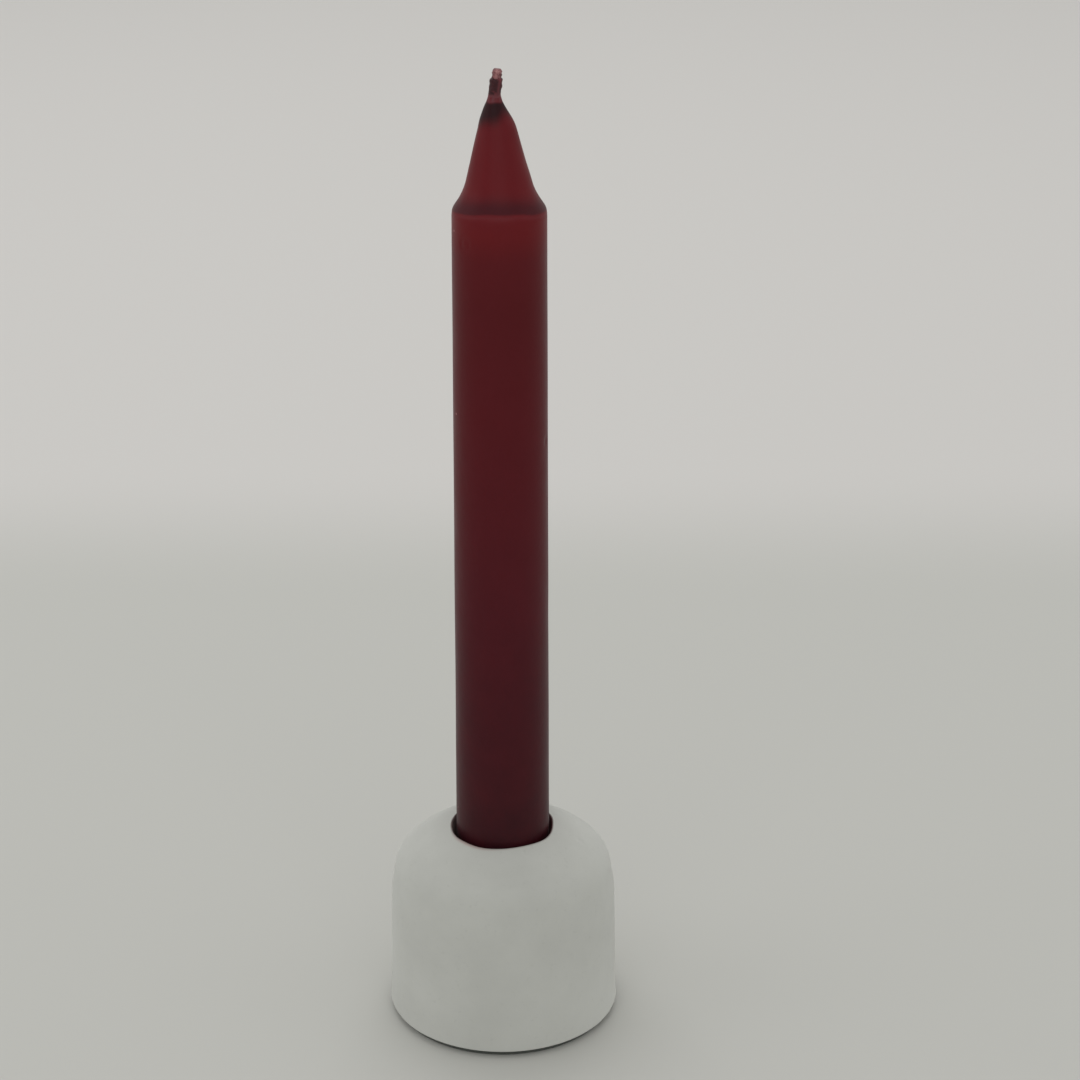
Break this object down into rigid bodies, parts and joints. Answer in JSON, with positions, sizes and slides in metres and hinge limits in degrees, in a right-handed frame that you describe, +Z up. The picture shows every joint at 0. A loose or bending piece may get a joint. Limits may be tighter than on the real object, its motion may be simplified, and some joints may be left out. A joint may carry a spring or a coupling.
{
  "type": "candle in candle holder",
  "caption": "Slim dipped candle with a braided wick, standing in the socket of a squat domed cast holder on a thin pad.",
  "frame": {"origin": "on the surface the holder stands on, at the middle of its pad", "axes": "+Z up along the candle; the shape is the same all round, so +X and +Y are free"},
  "size_m": [0.0544, 0.0544, 0.2275],
  "materials": {
    "cast_plaster": "matte",
    "pad_felt": "matte",
    "pale_wax": "satin",
    "dyed_wax": "satin",
    "wick_cotton": "matte"
  },
  "bodies": {
    "holder": {"holder": "cast_plaster", "base_pad": "pad_felt"},
    "candle": {"candle_core": "pale_wax", "candle_coat": "dyed_wax", "wick": "wick_cotton", "wick_wax": "dyed_wax"}
  },
  "joints": [
    {"name": "candle_lift", "type": "slide", "parent": "holder", "child": "candle", "axis": [0, 0, 1], "range_m": [0, 0.04]}
  ]
}
